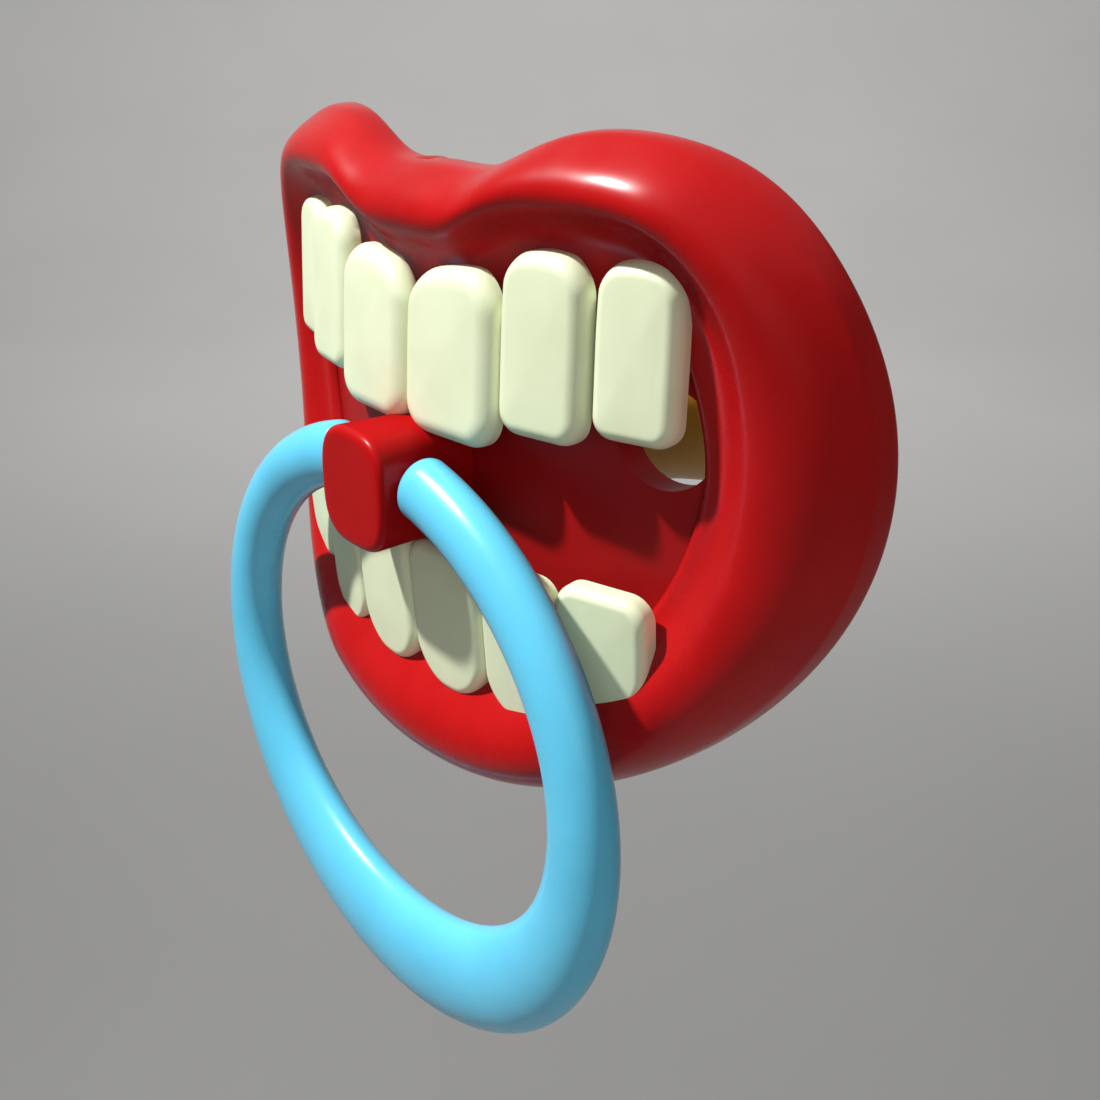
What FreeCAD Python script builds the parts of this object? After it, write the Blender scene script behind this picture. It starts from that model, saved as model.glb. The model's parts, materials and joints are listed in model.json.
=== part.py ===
import math
import os

import FreeCAD
import Part

# Novelty lips-and-teeth baby pacifier, in millimetres.
# +X is to the right as the front is seen, -Y is out of the front, +Z is up.
# The origin is on the rear face of the shield, on the axis of the nipple.

V = FreeCAD.Vector
X_AXIS = V(1, 0, 0)
Y_AXIS = V(0, 1, 0)
Z_AXIS = V(0, 0, 1)
FAR = 80.0              # cutting tools reach this far, well beyond the part

# ---------------------------------------------------------------- driving dimensions
# Shield: half of its outline, from the dip of the cupid's bow round to the chin.
OUTLINE_HALF = [
    (0.0, 20.6), (6.0, 20.8), (9.0, 22.0), (11.8, 23.0), (15.6, 23.3), (22.9, 21.5),
    (27.75, 16.3), (30.9, 6.5), (29.6, -3.5), (24.05, -12.6), (13.6, -20.1), (0.0, -22.5),
]
WRAP_R = 61.0           # radius of the rear face, which wraps round the cheeks
PLATE_T = 1.8
RIM_ROUND = 0.35
RIM_EDGE_MIN = 60.0     # of the plate's edges, only the two round its rim are longer
VENT_X, VENT_Z, VENT_R = 19.0, 5.9, 3.3
STEM_R = 2.2            # stem of the knob, through the plate and the plug

# Lips: a fat roll on the front of the plate.
MOUTH_HALF = [
    (0.0, 9.3), (8.0, 11.0), (14.8, 13.0), (18.6, 11.8), (20.5, 8.3), (21.3, 4.2),
    (20.8, 0.7), (19.4, -3.2), (16.6, -7.4), (10.5, -10.6), (0.0, -11.4),
]
LIP_STATIONS = 48
LIP_MID_Z, LIP_HALF_H = 1.0, 21.0
CREST_SIDE, CREST_TOP, CREST_CHIN = 4.15, 5.6, 6.3      # height of the roll over the rear face
LOBE_X, LOBE_Z, LOBE_REACH = 14.5, 23.5, 8.0            # where the two upper lobes are flattened
LOBE_DROP, LOBE_LEAN_LOW, LOBE_LEAN_HIGH = 0.06, 0.02, 0.02

# Teeth: inner x, outer x, top z, bottom z, front depth at the top and at the bottom.
UPPER_TEETH = [(0.2, 8.9, 15.0, 3.5, 4.8, 5.75),
               (9.3, 15.75, 16.8, 5.1, 4.5, 5.4),
               (16.0, 21.6, 16.85, 5.9, 3.95, 4.7)]
LOWER_TEETH = [(0.15, 7.6, -4.4, -17.2, 5.9, 4.75),
               (7.85, 13.8, -4.3, -16.8, 5.8, 4.75),
               (14.1, 20.6, -3.9, -13.8, 5.4, 4.45)]
TOOTH_CORNER_R = 1.9
TOOTH_EDGE_R = 0.9
TOOTH_T = 1.95
PEG_R, PEG_STOP, PEG_FROM_ROOT = 0.9, 0.5, 2.6    # the peg stops short of the rear face
PEG_START = 0.6         # share of the crown's thickness in front of the peg

# Ring: an upright loop, thin at the top and fat at the bottom.
HINGE_Y, HINGE_Z = -7.25, 1.25
RING_RX, RING_RZ = 21.65, 19.8
RING_IN_TOP, RING_IN_BOTTOM = 2.35, 4.4       # tube radius in the plane of the loop
RING_OUT_TOP, RING_OUT_BOTTOM = 1.95, 2.15    # tube radius across the loop
RING_SWELL = 2.5        # how late the tube fattens on the way down
RING_STATIONS, RING_AROUND = 48, 12
RING_WINDOW = 14.0      # height and depth of the gap the knob fills
AXLE_R = 1.6
AXLE_IN_RING = 1.5
AXLE_GAP = 0.05
RING_SIDE_GAP = 0.15

# Knob: a squarish button with rounded sides.
KNOB_FRONT_Y = -9.95
KNOB_HALF_W, KNOB_BASE_HALF_W = 4.05, 2.95
KNOB_TOP_Z, KNOB_BOTTOM_Z = 4.1, -4.4
KNOB_BOW, KNOB_CORNER_R = 0.6, 1.8
KNOB_EDGE_R = 0.55
POST_BACK_Y = 2.0
PIN_X, PIN_Z, PIN_R = 1.7, -2.5, 0.7
PIN_IN_CAP, PIN_IN_POST = 1.0, 2.4

# Nipple and what holds it.
NIPPLE_LENGTH = 34.0
NIPPLE_PROFILE = [(0.0, 5.2), (5.0, 5.0), (11.0, 5.0), (18.5, 5.35), (25.0, 6.9),
                  (30.0, 6.9), (33.2, 4.2)]
NIPPLE_WALL = 1.2
FLANGE_R, FLANGE_T = 7.6, 1.0
SEAT_R = 7.7            # flat seat for the flange in the curved rear face
NECK_LIP_R = 2.7        # the nipple's base closes in to this radius
PLUG_HEAD_R, PLUG_BODY_R, PLUG_END_Y = 3.9, 3.2, 8.0
PLUG_HEAD_T, PLUG_TAPER, PLUG_CHAMFER = 1.1, 0.5, 0.6
STEM_START_Y, STEM_END_Y = -3.0, 6.5
COLLAR_R, COLLAR_BORE_R, COLLAR_TOP_Y = 9.8, 5.5, 2.5
COLLAR_CHAMFER = 0.9


# ---------------------------------------------------------------- small helpers
def mirrored(half):
    """The closed list of points whose right half is given from the top to the bottom."""
    left = [(-x, z) for x, z in reversed(half[1:-1])]
    return half + left


def closed_curve(points, y=0.0):
    curve = Part.BSplineCurve()
    curve.interpolate(Points=[V(x, y, z) for x, z in points], PeriodicFlag=True)
    return curve


def cylinder(radius, base, length, axis):
    return Part.makeCylinder(radius, length, base, axis)


def wrap_y(x, height=0.0):
    """y of the surface that lies height in front of the rear face, at x."""
    radius = WRAP_R + height
    return WRAP_R - math.sqrt(radius * radius - x * x)


def closed_tube(poles):
    """The solid inside a smooth surface that closes on itself both ways."""
    rows, columns = len(poles), len(poles[0])
    surface = Part.BSplineSurface()
    surface.buildFromPolesMultsKnots(
        poles, [1] * (rows + 1), [1] * (columns + 1), list(range(rows + 1)), list(range(columns + 1)),
        True, True, 3, 3)
    solid = Part.Solid(Part.Shell([surface.toShape()]))
    if solid.Volume < 0:
        solid.reverse()
    return solid


def save(name, shape):
    shape.exportStep("parts/" + name + ".step")
    print("%-18s solids %d valid %s volume %.1f" % (name, len(shape.Solids), shape.isValid(), shape.Volume))


# ---------------------------------------------------------------- shield plate
def wrap_cylinder(height):
    return cylinder(WRAP_R + height, V(0, WRAP_R, -FAR), 2 * FAR, Z_AXIS)


def front_half():
    """All the space on the front side of the wrap's centre."""
    return Part.makeBox(2 * FAR, FAR + 0.5 * WRAP_R, 2 * FAR, V(-FAR, -FAR, -FAR))


def plate_blank():
    outline = closed_curve(mirrored(OUTLINE_HALF), -FAR)
    face = Part.Face(Part.Wire([outline.toShape()]))
    prism = face.extrude(V(0, 2 * FAR, 0)).common(front_half())
    blank = prism.common(wrap_cylinder(PLATE_T)).cut(wrap_cylinder(0)).Solids[0]
    rim = [e for e in blank.Edges if e.Length > RIM_EDGE_MIN]
    return blank.makeFillet(RIM_ROUND, rim).Solids[0]


def vent_holes():
    return [cylinder(VENT_R, V(side * VENT_X, -FAR, VENT_Z), 2 * FAR, Y_AXIS) for side in (-1, 1)]


# ---------------------------------------------------------------- lips
def by_place(z_part, side, top, chin):
    """A value for the roll: side at mid-height, top and chin at its two ends."""
    if z_part >= 0:
        return side + (top - side) * z_part ** 2
    return side + (chin - side) * z_part ** 2


def lip_section(outer, inner):
    """Control points round one section of the roll: how far across it, and how high."""
    ox, oz = outer
    ix, iz = inner
    z_part = max(-1.0, min(1.0, (oz - LIP_MID_Z) / LIP_HALF_H))
    lobe = max(0.0, 1.0 - math.hypot(abs(ox) - LOBE_X, oz - LOBE_Z) / LOBE_REACH)
    crest = by_place(z_part, CREST_SIDE, CREST_TOP, CREST_CHIN) * (1.0 - LOBE_DROP * lobe)
    low_lean, high_lean = LOBE_LEAN_LOW * lobe, LOBE_LEAN_HIGH * lobe
    foot = 0.5 * PLATE_T
    section = [
        (by_place(z_part, -0.03, -0.03, -0.02), foot),
        (by_place(z_part, -0.03, -0.02, -0.02), 1.2 * PLATE_T),
        (by_place(z_part, -0.02, 0.01, 0.0) + low_lean, by_place(z_part, 0.50, 0.54, 0.56) * crest),
        (by_place(z_part, 0.09, 0.10, 0.07) + high_lean, by_place(z_part, 0.84, 0.86, 0.88) * crest),
        (by_place(z_part, 0.27, 0.23, 0.21), 1.04 * crest),
        (by_place(z_part, 0.48, 0.33, 0.40), by_place(z_part, 1.05, 0.93, 1.03) * crest),
        (by_place(z_part, 0.63, 0.43, 0.58), by_place(z_part, 0.86, 0.62, 0.84) * crest),
        (by_place(z_part, 0.80, 0.62, 0.78), by_place(z_part, 0.60, 0.42, 0.58) * crest),
        (by_place(z_part, 0.93, 0.86, 0.93), 1.4 * PLATE_T),
        (1.00, foot),
        (0.67, foot),
        (0.33, foot),
    ]
    poles = []
    for across, height in section:
        x = ox + (ix - ox) * across
        z = oz + (iz - oz) * across
        poles.append(V(x, wrap_y(x, height), z))
    return poles


def lip_roll():
    outer = closed_curve(mirrored(OUTLINE_HALF))
    inner = closed_curve(mirrored(MOUTH_HALF))
    grid = []
    for k in range(LIP_STATIONS):
        angle = 2 * math.pi * k / LIP_STATIONS
        grid.append(lip_section(point_at(outer, angle), point_at(inner, angle)))
    return closed_tube(grid)


def point_at(curve, angle):
    """Where a ray from the middle of the mouth, at angle from +X, leaves the closed curve."""
    first, last = curve.FirstParameter, curve.LastParameter
    span = last - first
    steps = 720
    ray = V(math.cos(angle), 0, math.sin(angle))

    def side_of(parameter):
        point = curve.value(first + (parameter - first) % span)
        return ray.x * point.z - ray.z * point.x

    def turn_from_ray(k):
        point = curve.value(first + span * k / steps)
        return abs(math.atan2(ray.x * point.z - ray.z * point.x, ray.x * point.x + ray.z * point.z))

    nearest = min(range(steps), key=turn_from_ray)
    low = first + span * (nearest - 1) / steps
    high = first + span * (nearest + 1) / steps
    low_side = side_of(low)
    for _ in range(40):
        middle = 0.5 * (low + high)
        if (side_of(middle) > 0) == (low_side > 0):
            low = middle
        else:
            high = middle
    point = curve.value(first + (low - first) % span)
    return point.x, point.z


# ---------------------------------------------------------------- teeth
def tooth(inner_x, outer_x, top_z, bottom_z, depth_top, depth_bottom, roots_up):
    """A pillow-shaped crown on the right-hand side, and the peg that stands behind its root."""
    front_r = WRAP_R + 0.5 * (depth_top + depth_bottom)
    turn_in, turn_out = math.asin(inner_x / front_r), math.asin(outer_x / front_r)
    width = front_r * (turn_out - turn_in)
    turn = 0.5 * (turn_in + turn_out)
    height = top_z - bottom_z
    depth = depth_top if roots_up else depth_bottom
    block = Part.makeBox(width, TOOTH_T, height, V(-width / 2, -depth, bottom_z))
    upright = [e for e in block.Edges if abs(e.tangentAt(e.FirstParameter).y) > 0.9]
    block = block.makeFillet(TOOTH_CORNER_R, upright)
    faces_y = (-depth, TOOTH_T - depth)
    around = [e for e in block.Edges
              if any(all(abs(v.Y - y) < 1e-6 for v in e.Vertexes) for y in faces_y)]
    block = block.makeFillet(TOOTH_EDGE_R, around)
    lean = math.degrees(math.atan2(abs(depth_bottom - depth_top), height))
    pivot = V(0, -depth, top_z if roots_up else bottom_z)
    block.rotate(pivot, X_AXIS, -lean if roots_up else lean)

    peg_z = top_z - PEG_FROM_ROOT if roots_up else bottom_z + PEG_FROM_ROOT
    peg_length = depth - PEG_START * TOOTH_T - PEG_STOP
    peg = cylinder(PEG_R, V(0, PEG_START * TOOTH_T - depth, peg_z), peg_length, Y_AXIS)
    for piece in (block, peg):
        piece.translate(V(0, -WRAP_R, 0))
        piece.rotate(V(0, 0, 0), Z_AXIS, math.degrees(turn))
        piece.translate(V(0, WRAP_R, 0))
    return block, peg


def make_teeth():
    """The teeth by node name, numbered from -X to +X in each jaw, and all their pegs."""
    teeth = {}
    pegs = []
    for jaw, rows, roots_up in (("upper_tooth", UPPER_TEETH, True), ("lower_tooth", LOWER_TEETH, False)):
        count = len(rows)
        for k, row in enumerate(rows):
            crown, peg = tooth(*row, roots_up)
            right = crown.fuse(peg).removeSplitter().Solids[0]
            teeth["%s_%d" % (jaw, count + 1 + k)] = right
            teeth["%s_%d" % (jaw, count - k)] = right.mirror(V(0, 0, 0), X_AXIS)
            pegs += [peg, peg.mirror(V(0, 0, 0), X_AXIS)]
    return teeth, pegs


# ---------------------------------------------------------------- ring
def ring_handle():
    # The poles stand off a little, because the surface passes inside them.
    stand_off = 3.0 / (2.0 + math.cos(2 * math.pi / RING_AROUND))
    rows = []
    for k in range(RING_STATIONS):
        angle = 2 * math.pi * k / RING_STATIONS
        swell = ((1 - math.cos(angle)) / 2) ** RING_SWELL
        half_in = stand_off * (RING_IN_TOP + (RING_IN_BOTTOM - RING_IN_TOP) * swell)
        half_out = stand_off * (RING_OUT_TOP + (RING_OUT_BOTTOM - RING_OUT_TOP) * swell)
        centre = V(RING_RX * math.sin(angle), HINGE_Y, HINGE_Z - RING_RZ * (1 - math.cos(angle)))
        outward = V(math.sin(angle) / RING_RX, 0, math.cos(angle) / RING_RZ)
        outward.normalize()
        row = []
        for j in range(RING_AROUND):
            turn = 2 * math.pi * j / RING_AROUND
            row.append(centre + outward * (half_in * math.cos(turn)) + V(0, half_out * math.sin(turn), 0))
        rows.append(row)
    loop = closed_tube(rows)
    reach = KNOB_HALF_W + RING_SIDE_GAP
    corner = V(-reach, HINGE_Y - 0.5 * RING_WINDOW, HINGE_Z - 0.5 * RING_WINDOW)
    window = Part.makeBox(2 * reach, RING_WINDOW, RING_WINDOW, corner)
    axle_end = reach + AXLE_IN_RING
    axle = cylinder(AXLE_R, V(-axle_end, HINGE_Y, HINGE_Z), 2 * axle_end, X_AXIS)
    return loop.cut(window).fuse(axle).Solids[0]


# ---------------------------------------------------------------- knob
def knob_outline(y):
    """The knob's section at y: flat top and bottom, bowed sides, rounded corners."""
    part = (y - KNOB_FRONT_Y) / (-PLATE_T - KNOB_FRONT_Y)
    half_w = KNOB_HALF_W + (KNOB_BASE_HALF_W - KNOB_HALF_W) * part
    middle = 0.5 * (KNOB_TOP_Z + KNOB_BOTTOM_Z)
    half_h = 0.5 * (KNOB_TOP_Z - KNOB_BOTTOM_Z)
    edge_x = half_w - KNOB_BOW
    flat_x = edge_x - KNOB_CORNER_R
    side_z = half_h - KNOB_CORNER_R
    slant = KNOB_CORNER_R * math.sqrt(0.5)

    def at(x, z):
        return V(x, y, middle + z)

    def corner(side, up):
        ends = [at(side * flat_x, up * half_h), at(side * (flat_x + slant), up * (side_z + slant)),
                at(side * edge_x, up * side_z)]
        return Part.Arc(*ends).toShape()

    def bow(side):
        ends = [at(side * edge_x, side_z), at(side * half_w, 0), at(side * edge_x, -side_z)]
        return Part.Arc(*ends).toShape()

    return Part.Wire([
        Part.makeLine(at(-flat_x, half_h), at(flat_x, half_h)), corner(1, 1), bow(1), corner(1, -1),
        Part.makeLine(at(flat_x, -half_h), at(-flat_x, -half_h)), corner(-1, -1), bow(-1), corner(-1, 1),
    ])


def knob_body(y_front, y_back):
    return Part.makeLoft([knob_outline(y_front), knob_outline(y_back)], True, True)


def make_knob(plate_front, teeth):
    """The post, notched where the front teeth rest on it, and the cap pinned over the axle."""
    bore = cylinder(AXLE_R + AXLE_GAP, V(-FAR, HINGE_Y, HINGE_Z), 2 * FAR, X_AXIS)
    pins = [cylinder(PIN_R, V(side * PIN_X, HINGE_Y - PIN_IN_CAP, PIN_Z), PIN_IN_CAP + PIN_IN_POST, Y_AXIS)
            for side in (-1, 1)]

    cap = knob_body(KNOB_FRONT_Y, HINGE_Y)
    front = [e for e in cap.Edges if all(abs(v.Y - KNOB_FRONT_Y) < 1e-6 for v in e.Vertexes)]
    cap = cap.makeFillet(KNOB_EDGE_R, front)
    cap = cap.cut(bore)
    for pin in pins:
        cap = cap.fuse(pin)

    post = knob_body(HINGE_Y, POST_BACK_Y).common(plate_front).cut(bore)
    for piece in teeth:
        post = post.cut(piece)
    for pin in pins:
        post = post.cut(pin)
    stem = cylinder(STEM_R, V(0, STEM_START_Y, 0), STEM_END_Y - STEM_START_Y, Y_AXIS)
    post = post.fuse(stem)
    return post.removeSplitter().Solids[0], cap.removeSplitter().Solids[0]


# ---------------------------------------------------------------- nipple and its seat
def turned(points):
    """A solid of revolution about the nipple's axis, from (y, r) points of a closed profile."""
    wire = Part.makePolygon([V(r, y, 0) for y, r in points + points[:1]])
    return Part.Face(wire).revolve(V(0, 0, 0), Y_AXIS, 360)


def bulb(profile, tip_y):
    """The space inside a smooth bulb: a spline through (y, r) points, closed on the axis."""
    start_y, start_r = profile[0]
    points = [V(r, y, 0) for y, r in profile] + [V(0, tip_y, 0)]
    side = Part.BSplineCurve()
    side.interpolate(Points=points, InitialTangent=V(0, 1, 0), FinalTangent=V(-1, 0, 0))
    edges = [side.toShape(), Part.makeLine(V(0, tip_y, 0), V(0, start_y, 0)),
             Part.makeLine(V(0, start_y, 0), V(start_r, start_y, 0))]
    return Part.Face(Part.Wire(edges)).revolve(V(0, 0, 0), Y_AXIS, 360)


def make_nipple():
    """A hollow latex teat whose base turns out into a flange and in round the plug's neck."""
    outside = bulb(NIPPLE_PROFILE, NIPPLE_LENGTH)
    hollow_profile = [(max(y, FLANGE_T), r - NIPPLE_WALL) for y, r in NIPPLE_PROFILE[:-1]]
    last_y, last_r = NIPPLE_PROFILE[-1]
    hollow_profile.append((last_y - NIPPLE_WALL, last_r - NIPPLE_WALL))
    inside = bulb(hollow_profile, NIPPLE_LENGTH - NIPPLE_WALL)
    flange = cylinder(FLANGE_R, V(0, 0, 0), FLANGE_T, Y_AXIS)
    neck_hole = cylinder(NECK_LIP_R, V(0, -FLANGE_T, 0), 2 * FLANGE_T, Y_AXIS)
    return outside.fuse(flange).cut(inside).cut(neck_hole).removeSplitter().Solids[0]


def make_plug():
    """The hard core in the nipple's base: a neck, a head over the latex, a blind bore."""
    head_y = FLANGE_T + PLUG_HEAD_T
    return turned([
        (0, STEM_R), (0, NECK_LIP_R), (FLANGE_T, NECK_LIP_R), (FLANGE_T, PLUG_HEAD_R),
        (head_y, PLUG_HEAD_R), (head_y + PLUG_TAPER, PLUG_BODY_R),
        (PLUG_END_Y - PLUG_CHAMFER, PLUG_BODY_R), (PLUG_END_Y, PLUG_BODY_R - PLUG_CHAMFER),
        (PLUG_END_Y, 0), (STEM_END_Y, 0), (STEM_END_Y, STEM_R),
    ])


def make_collar(plate):
    """The ring that holds the flange down, shaped to the curved rear face."""
    ring = turned([
        (FLANGE_T, COLLAR_BORE_R), (FLANGE_T, SEAT_R), (-PLATE_T, SEAT_R), (-PLATE_T, COLLAR_R),
        (COLLAR_TOP_Y - COLLAR_CHAMFER, COLLAR_R), (COLLAR_TOP_Y, COLLAR_R - COLLAR_CHAMFER),
        (COLLAR_TOP_Y, COLLAR_BORE_R),
    ])
    pieces = ring.cut(plate).Solids
    return max((p for p in pieces if p.CenterOfMass.y > 0), key=lambda p: p.Volume)


def main():
    os.makedirs("parts", exist_ok=True)
    plate_front = front_half().cut(wrap_cylinder(PLATE_T))
    teeth, pegs = make_teeth()
    lips = lip_roll().common(plate_front)
    for piece in teeth.values():
        lips = lips.cut(piece)
    plate = plate_blank()
    seat = cylinder(SEAT_R, V(0, 0, 0), FAR, Y_AXIS)
    stem_hole = cylinder(STEM_R, V(0, -FAR, 0), 2 * FAR, Y_AXIS)
    for hole in vent_holes() + pegs + [seat, stem_hole]:
        plate = plate.cut(hole)
    post, cap = make_knob(plate_front, teeth.values())

    save("lips", lips)
    save("mouth_plate", plate)
    for name in sorted(teeth):
        save(name, teeth[name])
    save("knob_post", post)
    save("knob_cap", cap)
    save("ring_handle", ring_handle())
    save("nipple", make_nipple())
    save("nipple_plug", make_plug())
    save("nipple_collar", make_collar(plate))


main()
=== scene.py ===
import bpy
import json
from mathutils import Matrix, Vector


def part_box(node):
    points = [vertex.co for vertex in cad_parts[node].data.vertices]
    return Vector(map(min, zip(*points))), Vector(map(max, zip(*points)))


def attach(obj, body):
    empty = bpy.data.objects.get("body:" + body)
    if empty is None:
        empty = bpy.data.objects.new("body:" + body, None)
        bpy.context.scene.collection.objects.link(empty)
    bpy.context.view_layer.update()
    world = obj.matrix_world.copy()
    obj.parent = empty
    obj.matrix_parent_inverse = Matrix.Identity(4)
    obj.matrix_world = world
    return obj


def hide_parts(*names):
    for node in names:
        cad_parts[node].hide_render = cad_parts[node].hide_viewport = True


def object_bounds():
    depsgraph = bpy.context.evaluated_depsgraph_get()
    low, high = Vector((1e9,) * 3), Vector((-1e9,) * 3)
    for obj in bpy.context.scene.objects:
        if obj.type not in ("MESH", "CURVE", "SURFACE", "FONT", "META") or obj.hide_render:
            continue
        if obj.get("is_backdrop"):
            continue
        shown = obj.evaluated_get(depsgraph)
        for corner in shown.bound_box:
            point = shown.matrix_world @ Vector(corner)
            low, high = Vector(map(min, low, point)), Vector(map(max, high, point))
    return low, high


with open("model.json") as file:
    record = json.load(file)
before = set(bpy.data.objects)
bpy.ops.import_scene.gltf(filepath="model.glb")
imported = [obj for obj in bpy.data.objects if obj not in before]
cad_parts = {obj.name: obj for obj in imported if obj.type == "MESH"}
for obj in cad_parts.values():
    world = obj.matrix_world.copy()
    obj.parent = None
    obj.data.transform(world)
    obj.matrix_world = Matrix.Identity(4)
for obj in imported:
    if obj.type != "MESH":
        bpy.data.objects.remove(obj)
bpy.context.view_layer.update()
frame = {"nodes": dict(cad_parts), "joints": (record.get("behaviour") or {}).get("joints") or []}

import json
import math

import bmesh
import bpy
import numpy as np
from mathutils import Vector

# Novelty lips-and-teeth pacifier. x runs to the viewer's right, y to the back and z up. Lengths are
# in metres unless a comment says millimetres, and MM turns millimetres into metres.
MM = 0.001
FULL_TURN, QUARTER_TURN = 2 * math.pi, 0.5 * math.pi

# ---------------------------------------------------------------- sizes read from the frame
PLATE_LOW, PLATE_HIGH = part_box("mouth_plate")
RING_LOW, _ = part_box("ring_handle")
CAP_LOW, CAP_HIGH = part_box("knob_cap")
HINGE = Vector(frame["joints"][0]["pos_m"])
PLATE_T = -PLATE_LOW.y
HALF_WIDTH = PLATE_HIGH.x
# The rear face wraps round an upright cylinder that touches y = 0 on the middle line.
WRAP_R = (HALF_WIDTH ** 2 + PLATE_HIGH.y ** 2) / (2 * PLATE_HIGH.y)

# Right half of the shield's outline and of the open mouth, from the top round to the chin,
# as (x, z) in millimetres.
OUTLINE_HALF = [
    (0.0, 20.6), (6.0, 20.8), (9.0, 22.0), (11.8, 23.0), (15.6, 23.3), (22.9, 21.5),
    (27.75, 16.3), (30.9, 6.5), (29.6, -3.5), (24.05, -12.6), (13.6, -20.1), (0.0, -22.5),
]
MOUTH_HALF = [
    (0.0, 9.3), (8.0, 11.0), (14.8, 13.0), (18.6, 11.8), (20.5, 8.3), (21.3, 4.2),
    (20.8, 0.7), (19.4, -3.2), (16.6, -7.4), (10.5, -10.6), (0.0, -11.4),
]


# ---------------------------------------------------------------- curve and mesh helpers
SHARP_ANGLE = math.radians(50)


def mirrored(half):
    """The whole loop of which half is the right-hand side, its ends on the middle line."""
    return half + [(-x, z) for x, z in reversed(half[1:-1])]


def closed_spline(points, count=2880):
    """Points of the smooth closed curve through the given ones."""
    p = np.array(points, float)
    following = np.roll(p, -1, 0)
    n = len(p)
    gaps = np.linalg.norm(following - p, axis=1)
    knots = np.concatenate([[0], np.cumsum(gaps)])
    matrix = np.zeros((n, n))
    right = np.zeros((n, 2))
    for k in range(n):
        before, after = gaps[k - 1], gaps[k]
        matrix[k, k - 1] += after
        matrix[k, k] += 2 * (before + after)
        matrix[k, (k + 1) % n] += before
        right[k] = 3 * (before * (following[k] - p[k]) / after
                        + after * (p[k] - p[k - 1]) / before)
    slopes = np.linalg.solve(matrix, right)
    curve = []
    for s in np.linspace(0, knots[-1], count, endpoint=False):
        k = min(int(np.searchsorted(knots, s, "right")) - 1, n - 1)
        h = gaps[k]
        t = (s - knots[k]) / h
        leaving, arriving = slopes[k], slopes[(k + 1) % n]
        curve.append((2 * t ** 3 - 3 * t ** 2 + 1) * p[k]
                     + (t ** 3 - 2 * t ** 2 + t) * h * leaving
                     + (3 * t ** 2 - 2 * t ** 3) * following[k]
                     + (t ** 3 - t ** 2) * h * arriving)
    return np.array(curve)


def by_angle(curve, angles):
    """Where rays from the middle of the mouth leave a closed curve."""
    around = np.arctan2(curve[:, 1], curve[:, 0])
    order = np.argsort(around)
    wrapped = (np.asarray(angles) + math.pi) % FULL_TURN - math.pi
    parts = [np.interp(wrapped, around[order], curve[order, k], period=FULL_TURN) for k in (0, 1)]
    return np.stack(parts, 1)


def refine(poles, axis, times):
    """Points along one axis of the closed cubic B-spline surface of a grid of poles."""
    poles = np.moveaxis(poles, axis, 0)
    n = len(poles)
    rows = []
    for t in np.linspace(0, n, n * times, endpoint=False):
        k, f = int(t), t - int(t)
        weights = ((1 - f) ** 3, 3 * f ** 3 - 6 * f ** 2 + 4,
                   -3 * f ** 3 + 3 * f ** 2 + 3 * f + 1, f ** 3)
        rows.append(sum(w / 6 * poles[(k - 1 + j) % n] for j, w in enumerate(weights)))
    return np.moveaxis(np.array(rows), 0, axis)


def wrap_y(x, height):
    """y, in millimetres, of the surface that lies height in front of the rear face at x."""
    radius = WRAP_R / MM
    return radius - np.sqrt((radius + height) ** 2 - x ** 2)


def mesh_object(name, points, faces):
    """A smooth object in the scene, with its normals outwards and its real edges sharp."""
    mesh = bpy.data.meshes.new(name)
    mesh.from_pydata([tuple(p) for p in points], [], faces)
    made = bmesh.new()
    made.from_mesh(mesh)
    bmesh.ops.recalc_face_normals(made, faces=made.faces)
    made.to_mesh(mesh)
    made.free()
    mesh.polygons.foreach_set("use_smooth", [True] * len(mesh.polygons))
    mesh.set_sharp_from_angle(angle=SHARP_ANGLE)
    obj = bpy.data.objects.new(name, mesh)
    bpy.context.scene.collection.objects.link(obj)
    return obj


def band_faces(rows, columns, closed_rows):
    """Quads between rows of points, each row a closed loop."""
    last = rows if closed_rows else rows - 1
    return [(r * columns + c, (r + 1) % rows * columns + c,
             (r + 1) % rows * columns + (c + 1) % columns, r * columns + (c + 1) % columns)
            for r in range(last) for c in range(columns)]


def capped_rows(name, rows):
    """A closed skin over a stack of loops, with a fan at each end."""
    columns = len(rows[0])
    points = [p for row in rows for p in row]
    faces = band_faces(len(rows), columns, False)
    for row, start in ((rows[0], 0), (rows[-1], (len(rows) - 1) * columns)):
        centre = len(points)
        points.append(np.mean(np.array(row), axis=0))
        faces += [(start + c, start + (c + 1) % columns, centre) for c in range(columns)]
    return mesh_object(name, points, faces)


def stand_for(obj, body, nodes, material):
    """Dress a new piece, mount it on a body, and let it stand for CAD nodes."""
    obj.data.materials.append(material)
    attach(obj, body)
    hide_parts(*nodes)


# ---------------------------------------------------------------- materials
# Noise crowds round its middle, so colours and roughness run between these two of its values.
NOISE_LOW, NOISE_HIGH = 0.3, 0.7
POLISH_SPREAD = 0.03


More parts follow.
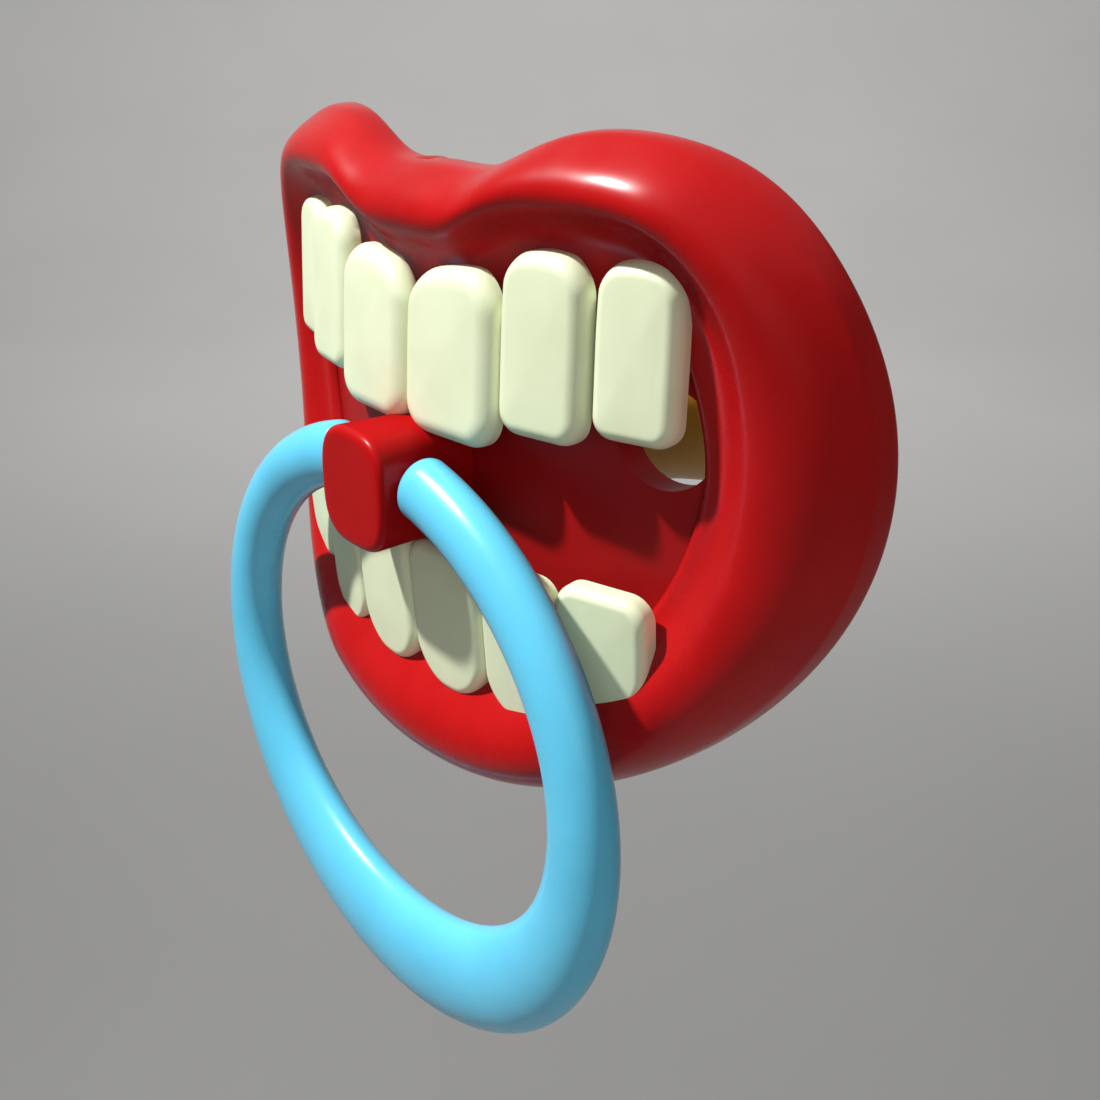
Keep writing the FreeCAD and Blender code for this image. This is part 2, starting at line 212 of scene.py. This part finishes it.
class Recipe:
    """A node material whose textures all follow the object's own coordinates."""

    def __init__(self, name):
        self.material = bpy.data.materials.new(name)
        self.material.use_nodes = True
        self.tree = self.material.node_tree
        self.shader = next(n for n in self.tree.nodes if n.type == "BSDF_PRINCIPLED")
        self.place = self.tree.nodes.new("ShaderNodeTexCoord").outputs["Object"]

    def link(self, source, target):
        self.tree.links.new(source, target)

    def noise(self, size_mm, detail=3.0, stretch=(1, 1, 1)):
        """Cloudy noise with blobs size_mm across; a stretch under 1 lengthens them on that axis."""
        mapping = self.tree.nodes.new("ShaderNodeMapping")
        mapping.inputs["Scale"].default_value = stretch
        self.link(self.place, mapping.inputs["Vector"])
        node = self.tree.nodes.new("ShaderNodeTexNoise")
        node.inputs["Scale"].default_value = 1 / (size_mm * MM)
        node.inputs["Detail"].default_value = detail
        self.link(mapping.outputs["Vector"], node.inputs["Vector"])
        return node.outputs["Fac"]

    def colours(self, source, low, high):
        """A blend from one colour to another as the source rises."""
        node = self.tree.nodes.new("ShaderNodeValToRGB")
        ends = ((NOISE_LOW, low), (NOISE_HIGH, high))
        for element, (position, colour) in zip(node.color_ramp.elements, ends):
            element.position = position
            element.color = colour
        self.link(source, node.inputs["Fac"])
        return node.outputs["Color"]

    def span(self, source, low, high):
        """A value that runs from low to high as the source rises."""
        node = self.tree.nodes.new("ShaderNodeMapRange")
        for socket, value in (("From Min", NOISE_LOW), ("From Max", NOISE_HIGH),
                              ("To Min", low), ("To Max", high)):
            node.inputs[socket].default_value = value
        self.link(source, node.inputs["Value"])
        return node.outputs["Result"]

    def bumps(self, heights):
        """Bump from (source, height in millimetres) pairs."""
        normal = None
        for source, height in heights:
            node = self.tree.nodes.new("ShaderNodeBump")
            node.inputs["Distance"].default_value = height * MM
            self.link(source, node.inputs["Height"])
            if normal is not None:
                self.link(normal, node.inputs["Normal"])
            normal = node.outputs["Normal"]
        self.link(normal, self.shader.inputs["Normal"])

    def set(self, **values):
        """Fixed shader values, each named after its socket with _ for a space."""
        for key, value in values.items():
            self.shader.inputs[key.replace("_", " ")].default_value = value


def srgb(red, green, blue):
    """The linear colour of an sRGB one given in 0 to 255."""
    def linear(value):
        value /= 255
        return value / 12.92 if value <= 0.04045 else ((value + 0.055) / 1.055) ** 2.4
    return linear(red), linear(green), linear(blue), 1.0


def moulded_plastic(name, dark, light, rough, coat, shine=0.5):
    """Glossy moulded plastic: faint clouding, uneven polish and a slow ripple."""
    m = Recipe(name)
    m.link(m.colours(m.noise(7.0, detail=4), dark, light), m.shader.inputs["Base Color"])
    polish = m.span(m.noise(2.5, detail=2), rough - POLISH_SPREAD, rough + POLISH_SPREAD)
    m.link(polish, m.shader.inputs["Roughness"])
    m.bumps([(m.noise(3.5, detail=1), 0.03)])
    m.set(IOR=1.5, Specular_IOR_Level=shine, Coat_Weight=coat, Coat_Roughness=0.12)
    return m.material


def tooth_ivory():
    """Cream enamel-like plastic with faint ridges from root to tip."""
    m = Recipe("tooth_ivory")
    ivory = m.colours(m.noise(5.0, detail=3), srgb(226, 234, 196), srgb(234, 242, 206))
    m.link(ivory, m.shader.inputs["Base Color"])
    m.link(m.span(m.noise(1.0), 0.34, 0.44), m.shader.inputs["Roughness"])
    ridges = m.noise(0.9, detail=2, stretch=(1, 1, 0.1))
    m.bumps([(ridges, 0.012), (m.noise(0.3, detail=1), 0.001)])
    m.set(IOR=1.45, Coat_Weight=0.1, Coat_Roughness=0.15)
    return m.material


def latex_amber():
    """Natural rubber: uneven amber, with faint flow marks along the nipple."""
    m = Recipe("latex_amber")
    amber = m.colours(m.noise(6.0, detail=4), srgb(184, 128, 20), srgb(206, 150, 32))
    m.link(amber, m.shader.inputs["Base Color"])
    m.link(m.span(m.noise(0.8), 0.28, 0.4), m.shader.inputs["Roughness"])
    flow = m.noise(1.4, detail=2, stretch=(1, 0.15, 1))
    m.bumps([(flow, 0.03), (m.noise(0.25, detail=1), 0.002)])
    m.set(IOR=1.52, Subsurface_Weight=0.05, Subsurface_Scale=1.0 * MM)
    return m.material


LIP_RED = moulded_plastic("lip_red", srgb(172, 14, 16), srgb(184, 18, 20),
                          rough=0.27, coat=0.12, shine=0.28)
SHIELD_RED = moulded_plastic("shield_red", srgb(152, 10, 12), srgb(164, 13, 15),
                             rough=0.42, coat=0.0, shine=0.3)
KNOB_RED = moulded_plastic("knob_red", srgb(168, 12, 14), srgb(178, 16, 18),
                           rough=0.3, coat=0.0, shine=0.15)
RING_BLUE = moulded_plastic("ring_blue", srgb(96, 200, 236), srgb(104, 208, 244),
                            rough=0.28, coat=0.25)
PLUG_WHITE = moulded_plastic("plug_natural", srgb(206, 206, 198), srgb(222, 222, 214),
                             rough=0.42, coat=0.0)
TOOTH_IVORY = tooth_ivory()
LATEX = latex_amber()


# ---------------------------------------------------------------- lips
# Lengths in this section are in millimetres, as in the outlines.
ROLL_MIDDLE_Z, ROLL_HALF_HEIGHT = 1.0, 21.0
CREST_SIDE, CREST_TOP, CREST_CHIN = 4.15, 5.6, 6.3
# Round the two peaks of the cupid's bow the crest is lower and the outer slope lies further in.
LOBE_X, LOBE_Z, LOBE_REACH = 14.5, 23.5, 8.0
LOBE_DIP, LOBE_SHIFT = 0.06, 0.02


def lip_section(outer, inner):
    """Control points round one section of the roll, whose skin folds over the plate's rim."""
    z_part = max(-1.0, min(1.0, (outer[1] - ROLL_MIDDLE_Z) / ROLL_HALF_HEIGHT))

    def at(side, top, chin):
        """A value that is side at mid-height, and top and chin at the roll's two ends."""
        return side + ((top if z_part >= 0 else chin) - side) * z_part ** 2

    off_lobe = math.hypot(abs(outer[0]) - LOBE_X, outer[1] - LOBE_Z)
    lobe = max(0.0, 1.0 - off_lobe / LOBE_REACH)
    shift = LOBE_SHIFT * lobe
    crest = at(CREST_SIDE, CREST_TOP, CREST_CHIN) * (1.0 - LOBE_DIP * lobe)
    plate = PLATE_T / MM
    rim = at(-0.035, -0.03, -0.025)
    # Each point is its share of the way from the outline to the mouth's edge, and its height. They
    # go from the rear face round the rim, over the crest, and back through the plate.
    section = np.array([
        (0.02, 0.10 * plate),
        (rim, 0.12 * plate),
        (rim, 0.60 * plate),
        (at(-0.03, -0.02, -0.02), 1.2 * plate),
        (at(-0.02, 0.01, 0.0) + shift, at(0.50, 0.54, 0.56) * crest),
        (at(0.09, 0.10, 0.07) + shift, at(0.84, 0.86, 0.88) * crest),
        (at(0.27, 0.23, 0.21), 1.04 * crest),
        (at(0.48, 0.33, 0.40), at(1.05, 0.93, 1.03) * crest),
        (at(0.63, 0.43, 0.58), at(0.86, 0.62, 0.84) * crest),
        (at(0.80, 0.62, 0.78), at(0.60, 0.42, 0.58) * crest),
        (at(0.93, 0.86, 0.93), 1.4 * plate),
        (1.00, 0.5 * plate),
        (0.67, 0.5 * plate),
        (0.33, 0.5 * plate),
    ])
    x = outer[0] + (inner[0] - outer[0]) * section[:, 0]
    z = outer[1] + (inner[1] - outer[1]) * section[:, 0]
    return np.stack([x, wrap_y(x, section[:, 1]), z], 1)


def make_lips(stations=96, finer_across=6, finer_along=4):
    """One roll round the whole mouth, a B-spline surface over its sections' control points."""
    angles = FULL_TURN * np.arange(stations) / stations
    outer = by_angle(closed_spline(mirrored(OUTLINE_HALF)), angles)
    inner = by_angle(closed_spline(mirrored(MOUTH_HALF)), angles)
    poles = np.array([lip_section(o, i) for o, i in zip(outer, inner)])
    grid = refine(refine(poles, 1, finer_across), 0, finer_along)
    faces = band_faces(*grid.shape[:2], True)
    lips = mesh_object("lips_roll", grid.reshape(-1, 3) * MM, faces)
    stand_for(lips, "shield", ["lips"], LIP_RED)


# ---------------------------------------------------------------- teeth
LOOP_POINTS = 96
ARC_STEPS, SOFT_EDGE_STEPS = 10, 12
TOOTH_T = 2.0 * MM
BACK_INSET, BACK_ROUND = 0.5 * MM, 0.35 * MM
# The soft edge rolls back by its own depth and CROWN, and the front's middle stands MIDDLE_CROWN
# of a CROWN further out than the edge.
CROWN, MIDDLE_CROWN = 0.25 * MM, 0.4
MIDDLE_SCALES = (0.92, 0.82, 0.7, 0.56, 0.42, 0.28, 0.14)
# Corner radii and the soft edge's width, as shares of a tooth's half width, and that edge's depth.
ROOT_ROUND = {"upper": 0.55, "lower": 0.85}
TIP_ROUND, LEAST_ROUND = 0.5, 0.3 * MM
EDGE_WIDTH = {"upper": 0.32, "lower": 0.22}
EDGE_DEPTH = {"upper": 0.95 * MM, "lower": 0.6 * MM}
# The root's end falls by ROOT_ARCH at its sides and is narrower by ROOT_TAPER.
ROOT_ARCH, ROOT_TAPER = 0.7 * MM, 0.06
# The front teeth's roots rise outwards along the cupid's bow, less so towards the side teeth.
BOW_RISE, BOW_FADE = 0.9 * MM, 0.1
# The lower roots end inside the lip, just under its surface.
LOWER_ROOT_LIFT = 1.3 * MM


def tooth_loop(half_width, half_height, root_r, tip_r):
    """Evenly spaced points of a rounded rectangle with its root end up, from the root's middle."""
    path = [(0.0, half_height)]
    corners = ((-1, 1, root_r), (-1, -1, tip_r), (1, -1, tip_r), (1, 1, root_r))
    for k, (side, up, radius) in enumerate(corners):
        start = QUARTER_TURN * (k + 1)
        for j in range(ARC_STEPS + 1):
            turn = start + QUARTER_TURN * j / ARC_STEPS
            path.append((side * (half_width - radius) + radius * math.cos(turn),
                         up * (half_height - radius) + radius * math.sin(turn)))
    path = np.array(path + path[:1])
    along = np.concatenate([[0], np.cumsum(np.linalg.norm(np.diff(path, axis=0), axis=1))])
    even = np.linspace(0, along[-1], LOOP_POINTS, endpoint=False)
    return np.stack([np.interp(even, along, path[:, k]) for k in (0, 1)], 1)


def tooth_place(node):
    """A tooth's turn about the wrap, half width, z range and front radii, from its CAD mesh."""
    points = np.array([v.co for v in frame["nodes"][node].data.vertices], float)
    radius = np.hypot(points[:, 0], WRAP_R - points[:, 1])
    angle = np.arctan2(points[:, 0], WRAP_R - points[:, 1])
    turn = 0.5 * (angle.min() + angle.max())
    half_width = 0.5 * (angle.max() - angle.min()) * radius.max()
    low_z, high_z = points[:, 2].min(), points[:, 2].max()
    quarter = 0.25 * (high_z - low_z)
    low_front = radius[points[:, 2] < low_z + quarter].max()
    high_front = radius[points[:, 2] > high_z - quarter].max()
    return turn, half_width, low_z, high_z, low_front, high_front


def tooth_stack(bevel, roll):
    """(inset, depth, scale) of the loops from the back face, round the soft edge, to the middle."""
    stack = [(BACK_INSET, -TOOTH_T, 1.0), (0.0, BACK_ROUND - TOOTH_T, 1.0)]
    for k in range(SOFT_EDGE_STEPS + 1):
        t = QUARTER_TURN * k / SOFT_EDGE_STEPS
        stack.append((bevel * (1 - math.cos(t)), (roll + CROWN) * (math.sin(t) - 1), 1.0))
    return stack + [(bevel, CROWN * (1 - scale ** 2) * MIDDLE_CROWN, scale)
                    for scale in MIDDLE_SCALES]


def make_tooth(row, number):
    """One crown with a soft front edge, set out on the wrap where the CAD tooth stands."""
    node = "%s_tooth_%d" % (row, number)
    turn, half_width, low_z, high_z, low_front, high_front = tooth_place(node)
    if row == "upper":
        root_z, tip_z = high_z, low_z
        rise = math.copysign(max(0.0, BOW_RISE - BOW_FADE * abs(turn) * WRAP_R), turn)
    else:
        root_z, tip_z = low_z + LOWER_ROOT_LIFT, high_z
        rise = 0.0
    half_height = 0.5 * abs(tip_z - root_z)
    root_r, tip_r = ROOT_ROUND[row] * half_width, TIP_ROUND * half_width
    rows = []
    for inset, depth, scale in tooth_stack(EDGE_WIDTH[row] * half_width, EDGE_DEPTH[row]):
        loop = tooth_loop(half_width - inset, half_height - inset,
                          max(root_r - inset, LEAST_ROUND), max(tip_r - inset, LEAST_ROUND)) * scale
        across, up = loop[:, 0], np.clip(loop[:, 1] / half_height, 0, 1)
        arch = -ROOT_ARCH * (across / half_width) ** 2
        height = loop[:, 1] + up * (arch + rise * across / half_width)
        across = across * (1 - ROOT_TAPER * up ** 2)
        if row == "lower":
            height = -height
        z = 0.5 * (root_z + tip_z) + height
        share = (z - low_z) / (high_z - low_z)
        radius = low_front + (high_front - low_front) * share + depth
        rows.append(np.stack([radius * math.sin(turn) + across * math.cos(turn),
                              WRAP_R - radius * math.cos(turn) + across * math.sin(turn), z], 1))
    tooth = capped_rows(node + "_crown", rows)
    # The photo shows no cream reflections of the teeth on the lip.
    tooth.visible_glossy = False
    stand_for(tooth, "shield", [node], TOOTH_IVORY)


# ---------------------------------------------------------------- ring
# The tube's middle line is an ellipse this wide to each side of the hinge.
RING_RX = 21.65 * MM
# Half the tube's thickness in the ring's plane, at the top and at the bottom.
TOP_HALF, BOTTOM_HALF = 2.35 * MM, 4.4 * MM
# Half its thickness from front to back at the top, and how much more it is at the bottom.
DEPTH_HALF, DEPTH_GAIN = 1.95 * MM, 0.2 * MM
# How late on the way down the tube swells.
SWELL_POWER = 2.5
# The tube's ends beside the knob: how far they stay off it, and how far they are rounded.
RING_GAP, SHOULDER = 0.05 * MM, 1.2 * MM


def ring_row(angle, shrink, around=48):
    """The tube's section at an angle round the ring from the hinge, shrunk all round."""
    swell = ((1 - math.cos(angle)) / 2) ** SWELL_POWER
    rz = (HINGE.z - RING_LOW.z - BOTTOM_HALF) / 2
    half_in = TOP_HALF + (BOTTOM_HALF - TOP_HALF) * swell - shrink
    half_out = DEPTH_HALF + DEPTH_GAIN * swell - shrink
    centre = Vector((RING_RX * math.sin(angle), HINGE.y, HINGE.z - rz * (1 - math.cos(angle))))
    outward = Vector((math.sin(angle) / RING_RX, 0, math.cos(angle) / rz)).normalized()
    return [centre + outward * (half_in * math.cos(t)) + Vector((0, half_out * math.sin(t), 0))
            for t in (FULL_TURN * j / around for j in range(around))]


def make_ring(stations=260, shoulder_steps=7):
    """A loop open at the knob, with rounded ends."""
    start = math.asin((CAP_HIGH.x + RING_GAP + SHOULDER) / RING_RX)
    sweep = FULL_TURN - 2 * start
    rows = [ring_row(start + sweep * k / stations, 0.0) for k in range(stations + 1)]
    for k in range(1, shoulder_steps + 1):
        t = QUARTER_TURN * k / shoulder_steps
        slide = Vector((SHOULDER * math.sin(t), 0, 0))
        shrink = SHOULDER * (1 - math.cos(t))
        rows.insert(0, [p - slide for p in ring_row(start, shrink)])
        rows.append([p + slide for p in ring_row(FULL_TURN - start, shrink)])
    ring = capped_rows("ring_loop", rows)
    stand_for(ring, "ring", ["ring_handle"], RING_BLUE)


# ---------------------------------------------------------------- knob
KNOB_BASE_HALF_WIDTH = 2.95 * MM
KNOB_SQUARENESS = 3.1           # the section's superellipse power
FACE_SHARES = (0.1, 0.35, 0.6, 0.85)
EDGE_ROUND, EDGE_STEPS = 0.6 * MM, 8
SIDES_START = 1.1 * MM          # behind the knob's face
POST_DEPTH = 0.8                # of the plate's thickness
BOSS_R, BOSS_REACH = 0.6 * MM, 0.6 * RING_GAP


def knob_loop(y, inset, points=96):
    """The knob's section at y, inset all round: a squarish loop with bowed sides."""
    share = (y - CAP_LOW.y) / (-PLATE_T - CAP_LOW.y)
    half_width = CAP_HIGH.x + (KNOB_BASE_HALF_WIDTH - CAP_HIGH.x) * share - inset
    half_height = 0.5 * (CAP_HIGH.z - CAP_LOW.z) - inset
    middle = 0.5 * (CAP_HIGH.z + CAP_LOW.z)
    power = 2 / KNOB_SQUARENESS
    loop = []
    for k in range(points):
        t = FULL_TURN * k / points
        x = half_width * math.copysign(abs(math.cos(t)) ** power, math.cos(t))
        z = half_height * math.copysign(abs(math.sin(t)) ** power, math.sin(t))
        loop.append(Vector((x, y, middle + z)))
    return loop


def make_knob(cap_rings=5, post_rings=12):
    """The cap with its rounded face, in front of the hinge, and the post behind it."""
    front = CAP_LOW.y
    face = knob_loop(front, EDGE_ROUND)
    centre = sum(face, Vector()) / len(face)
    cap_rows = [[centre + (p - centre) * share for p in face] for share in FACE_SHARES]
    for k in range(EDGE_STEPS + 1):
        t = QUARTER_TURN * k / EDGE_STEPS
        cap_rows.append(knob_loop(front + EDGE_ROUND * (1 - math.cos(t)),
                                  EDGE_ROUND * (1 - math.sin(t))))
    sides = np.linspace(front + SIDES_START, HINGE.y, cap_rings)
    cap_rows += [knob_loop(y, 0.0) for y in sides]
    cap = capped_rows("knob_cap_shell", cap_rows)
    stand_for(cap, "shield", ["knob_cap"], KNOB_RED)
    sides = np.linspace(HINGE.y, -POST_DEPTH * PLATE_T, post_rings)
    post = capped_rows("knob_post_shell", [knob_loop(y, 0.0) for y in sides])
    stand_for(post, "shield", ["knob_post"], KNOB_RED)


def make_boss(around=48):
    """The round boss in the narrow gap between the knob's sides and the ring's ends."""
    reach = CAP_HIGH.x + BOSS_REACH
    turns = [FULL_TURN * j / around for j in range(around)]
    rows = [[Vector((x, HINGE.y + BOSS_R * math.cos(t), HINGE.z + BOSS_R * math.sin(t)))
             for t in turns] for x in (-reach, 0.0, reach)]
    boss = capped_rows("knob_boss", rows)
    boss.data.materials.append(KNOB_RED)
    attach(boss, "shield")


# ---------------------------------------------------------------- carried-over CAD nodes
def dress_cad_nodes():
    """Materials for the CAD nodes that are shown as they are."""
    for name, material in (("mouth_plate", SHIELD_RED), ("nipple", LATEX),
                           ("nipple_plug", PLUG_WHITE), ("nipple_collar", SHIELD_RED)):
        materials = frame["nodes"][name].data.materials
        materials.clear()
        materials.append(material)


# ---------------------------------------------------------------- stage, light and camera
# The camera stands close to the object, as the photo's perspective shows.
VIEW_PLACE = (0.07462, -0.05268, 0.03007)
VIEW_AZIMUTH, VIEW_ELEVATION = math.radians(51.1), math.radians(22.18)
SENSOR_MM, LENS_MM = 36, 43.46
CLIP_NEAR, CLIP_FAR = 0.002, 400
BACK = Vector((math.sin(VIEW_AZIMUTH) * math.cos(VIEW_ELEVATION),
               -math.cos(VIEW_AZIMUTH) * math.cos(VIEW_ELEVATION), math.sin(VIEW_ELEVATION)))
FLOOR_DROP = 0.48
FLAT_R, CURVE_R, WALL_HEIGHT = 2.4, 1.6, 3.0
FLOOR_CLOUD_MM = 300.0
# The lamps' places and the wash's target, from the object's middle.
KEY_SIDE, KEY_DISTANCE = Vector((-0.33, -0.47, 0.82)), 0.6
FILL_SIDE, FILL_DISTANCE = Vector((0.78, -0.58, 0.24)), 0.9
WASH_BEHIND, WASH_ABOVE = 1.5, 1.6
BACKDROP_BEHIND, BACKDROP_BELOW = 4.5, 0.3
WORLD_COLOUR, WORLD_STRENGTH = (0.98, 0.99, 1.0, 1), 0.27


def make_floor(flat_steps=6, curve_steps=16, around=96):
    """A pale floor well below the object that sweeps up into a wall all round."""
    low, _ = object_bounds()
    ground = low.z - FLOOR_DROP
    profile = [(FLAT_R * k / flat_steps, 0.0) for k in range(1, flat_steps + 1)]
    for k in range(1, curve_steps + 1):
        t = QUARTER_TURN * k / curve_steps
        profile.append((FLAT_R + CURVE_R * math.sin(t), CURVE_R * (1 - math.cos(t))))
    profile.append((FLAT_R + CURVE_R, WALL_HEIGHT))
    turns = [FULL_TURN * k / around for k in range(around)]
    points = [(r * math.cos(t), r * math.sin(t), ground + up) for r, up in profile for t in turns]
    points.append((0, 0, ground))
    faces = band_faces(len(profile), around, False)
    faces += [(k, (k + 1) % around, len(points) - 1) for k in range(around)]
    floor = mesh_object("floor", points, faces)
    m = Recipe("floor_pale")
    pale = m.colours(m.noise(FLOOR_CLOUD_MM), srgb(172, 171, 169), srgb(175, 174, 172))
    m.link(pale, m.shader.inputs["Base Color"])
    m.set(Roughness=0.9)
    floor.data.materials.append(m.material)
    floor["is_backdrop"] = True


def area_light(name, place, aim, size, power):
    """A square lamp that the camera doesn't see, turned towards a point."""
    data = bpy.data.lights.new(name, "AREA")
    data.size = size
    data.energy = power
    light = bpy.data.objects.new(name, data)
    bpy.context.scene.collection.objects.link(light)
    light.location = place
    light.rotation_mode = "QUATERNION"
    light.rotation_quaternion = (Vector(place) - Vector(aim)).to_track_quat("Z", "Y")
    light.visible_camera = False
    return light


def make_lights():
    """A small key from the upper left, a broad fill from the right, and a wash on the backdrop."""
    low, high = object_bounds()
    middle = (low + high) / 2
    place = middle + KEY_DISTANCE * KEY_SIDE.normalized()
    area_light("key", place, middle, size=0.025, power=5.7)
    place = middle + FILL_DISTANCE * FILL_SIDE.normalized()
    fill = area_light("side_fill", place, middle, size=0.5, power=1.7)
    # The photo shows no broad highlight on the glossy lip.
    fill.visible_glossy = False
    away = -Vector((BACK.x, BACK.y, 0)).normalized()
    place = middle + WASH_BEHIND * away + Vector((0, 0, WASH_ABOVE))
    backdrop = middle + BACKDROP_BEHIND * away - Vector((0, 0, BACKDROP_BELOW))
    area_light("backdrop_wash", place, backdrop, size=1.2, power=60.0)
    world = bpy.data.worlds.new("studio")
    bpy.context.scene.world = world
    world.use_nodes = True
    background = world.node_tree.nodes["Background"]
    background.inputs["Color"].default_value = WORLD_COLOUR
    background.inputs["Strength"].default_value = WORLD_STRENGTH


def make_camera():
    """The photo's view."""
    data = bpy.data.cameras.new("view")
    data.sensor_width = SENSOR_MM
    data.lens = LENS_MM
    data.clip_start = CLIP_NEAR
    data.clip_end = CLIP_FAR
    camera = bpy.data.objects.new("view", data)
    bpy.context.scene.collection.objects.link(camera)
    camera.location = VIEW_PLACE
    camera.rotation_mode = "QUATERNION"
    camera.rotation_quaternion = BACK.to_track_quat("Z", "Y")
    bpy.context.scene.camera = camera


make_lips()
for tooth_number in range(1, 7):
    make_tooth("upper", tooth_number)
    make_tooth("lower", tooth_number)
make_ring()
make_knob()
make_boss()
dress_cad_nodes()
make_floor()
make_lights()
make_camera()
bpy.context.scene.view_settings.view_transform = "Standard"
